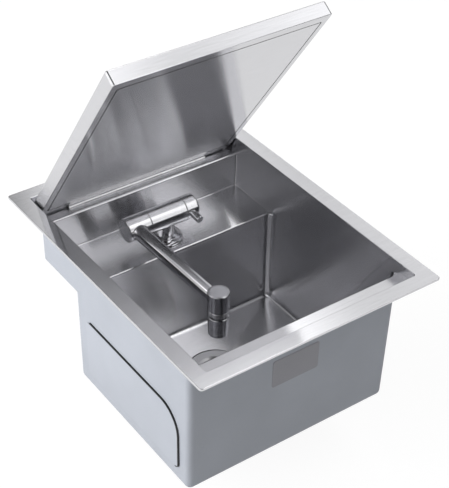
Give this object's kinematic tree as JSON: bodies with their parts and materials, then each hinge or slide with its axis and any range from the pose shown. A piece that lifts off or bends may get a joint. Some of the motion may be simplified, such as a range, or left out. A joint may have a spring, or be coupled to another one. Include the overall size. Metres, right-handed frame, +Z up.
{
  "type": "camper kitchen sink",
  "caption": "Built-in rectangular stainless sink with a hinged lid, a rear tray with a low folding mixer tap, a recessed ledge rim and a basket strainer waste.",
  "frame": {"origin": "centre of the worktop cut-out, at the worktop surface on which the rim's underside rests", "axes": "+X right along the front edge, +Y to the hinge at the back, +Z up; the user stands at -Y"},
  "size_m": [0.35, 0.445, 0.5727],
  "materials": {
    "brushed_stainless": "brushed stainless sheet",
    "hinge_stainless": "bright rolled stainless",
    "tap_chrome": "polished chrome plate on brass",
    "tap_brass": "turned brass",
    "waste_stainless": "pressed stainless, polished",
    "sound_coat": "sprayed sound-deadening coat, fine grain",
    "pad_rubber": "grey faced damping pad with dark edges",
    "black_rubber": "moulded black rubber",
    "foam_seal": "closed-cell foam strip",
    "label_film": "blank printed-film plate",
    "waste_plastic": "moulded polypropylene",
    "insert_plastic": "moulded acetal"
  },
  "bodies": {
    "sink": {"rim_frame": "brushed_stainless", "rim_seal": "foam_seal", "recess_collar": "brushed_stainless", "front_ledge": "brushed_stainless", "hinge_ledge": "brushed_stainless", "tap_tray": "brushed_stainless", "bowl_shell": "brushed_stainless", "bowl_coat": "sound_coat", "tray_coat": "sound_coat", "sound_pad_left": "pad_rubber", "sound_pad_right": "pad_rubber", "label_plate": "label_film", "hinge_fixed_leaf": "hinge_stainless", "hinge_pin": "hinge_stainless", "tap_base": "tap_chrome", "tap_shank": "tap_brass", "shank_nut": "tap_brass", "tap_base_seal": "black_rubber", "shank_rubber_washer": "black_rubber", "shank_steel_washer": "hinge_stainless", "inlet_plug": "tap_brass", "inlet_tail_cold": "tap_brass", "inlet_tail_hot": "tap_brass", "drain_flange": "waste_stainless", "drain_screw": "waste_stainless", "waste_body": "waste_plastic", "drain_gasket_top": "black_rubber", "drain_gasket_low": "black_rubber"},
    "lid": {"lid_shell": "brushed_stainless", "lid_inner_panel": "brushed_stainless", "lid_stiffeners": "brushed_stainless", "hinge_moving_leaf": "hinge_stainless"},
    "tap_body": {"tap_stem": "tap_chrome", "body_tube": "tap_chrome", "body_grub_screw": "waste_stainless", "hub_spigot": "tap_brass", "hub_rings": "black_rubber", "cartridge": "insert_plastic", "cartridge_nut": "tap_brass"},
    "spout": {"spout_hub": "tap_chrome", "hub_cap": "tap_chrome", "spout_arm": "tap_chrome", "spout_head": "tap_chrome", "head_cap": "tap_chrome", "ball_ring": "tap_chrome", "ball_seat": "insert_plastic"},
    "aerator": {"aerator_ball": "tap_chrome", "aerator_shell": "tap_chrome", "aerator_insert": "insert_plastic"},
    "handle": {"handle_collar": "tap_chrome", "collar_screw": "waste_stainless", "lever_pin": "tap_chrome", "cartridge_spindle": "tap_brass"},
    "strainer": {"strainer_basket": "waste_stainless", "strainer_knob": "waste_stainless", "strainer_stopper": "black_rubber"}
  },
  "joints": [
    {"name": "lid_hinge", "type": "hinge", "parent": "sink", "child": "lid", "pos_m": [0, 0.1825, -0.0184], "axis": [-1, 0, 0], "range_deg": [-55.07, 0]},
    {"name": "tap_swivel", "type": "hinge", "parent": "sink", "child": "tap_body", "pos_m": [0, 0.121, -0.039], "axis": [0, 0, 1], "range_deg": [-25, 40]},
    {"name": "spout_fold", "type": "hinge", "parent": "tap_body", "child": "spout", "pos_m": [-0.044, 0.121, -0.039], "axis": [-1, 0, 0], "range_deg": [0, 60]},
    {"name": "mixer_handle", "type": "hinge", "parent": "tap_body", "child": "handle", "pos_m": [0.037, 0.121, -0.039], "axis": [-1, 0, 0], "range_deg": [-30, 60]},
    {"name": "aerator_tilt", "type": "hinge", "parent": "spout", "child": "aerator", "pos_m": [-0.042, -0.0665, -0.0525], "axis": [1, 0, 0], "range_deg": [-8, 8]},
    {"name": "strainer_lift", "type": "slide", "parent": "sink", "child": "strainer", "axis": [0, 0, 1], "range_m": [0, 0.03]}
  ]
}
